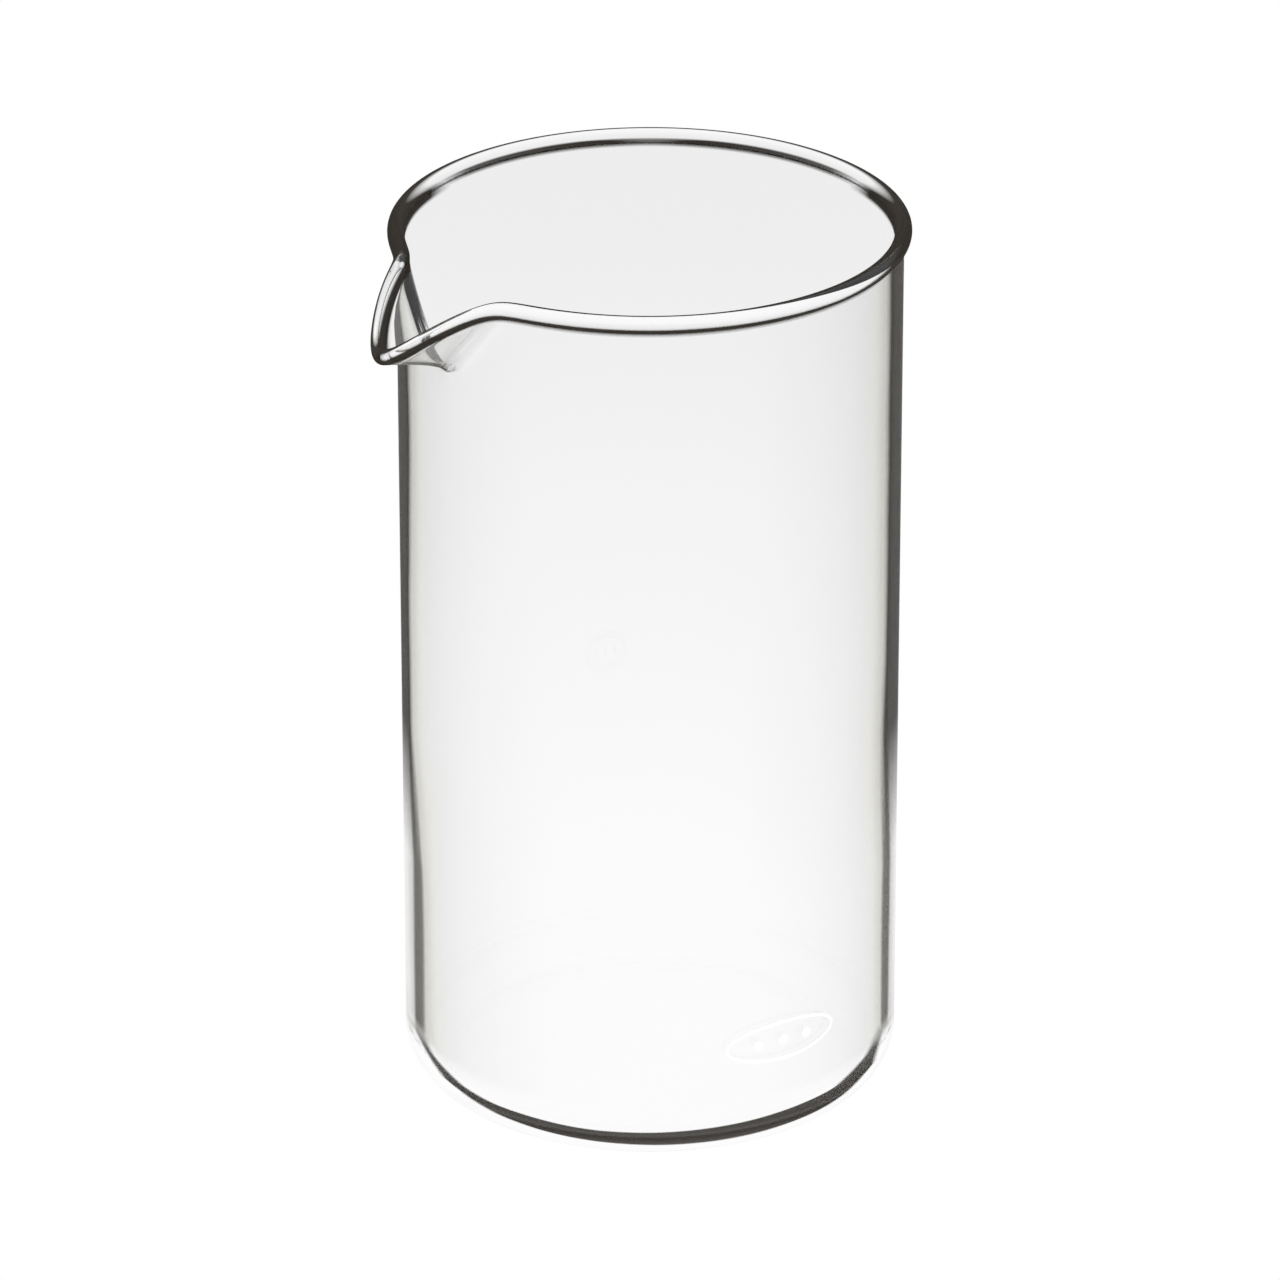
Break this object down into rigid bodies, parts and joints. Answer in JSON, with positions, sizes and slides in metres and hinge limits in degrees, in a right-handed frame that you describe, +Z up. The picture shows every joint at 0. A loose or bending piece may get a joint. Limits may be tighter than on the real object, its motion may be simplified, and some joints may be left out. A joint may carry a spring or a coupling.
{
  "type": "glass beaker",
  "caption": "Straight-sided clear glass beaker with a rounded heel, flat base, beaded rim, pulled pouring lip and a small white enamel mark.",
  "frame": {"origin": "centre of the flat base, on the axis of the wall", "axes": "+Z up the axis of the wall, -X towards the pouring lip, the printed mark close to -Y"},
  "size_m": [0.1145, 0.1, 0.179],
  "materials": {
    "clear_glass": "clear fire-polished borosilicate glass",
    "white_enamel": "thin white ceramic enamel fired onto the glass"
  },
  "bodies": {
    "root": {"glass_beaker": "clear_glass", "mark_ring": "white_enamel", "mark_dot_1": "white_enamel", "mark_dot_2": "white_enamel", "mark_dot_3": "white_enamel"}
  },
  "joints": []
}
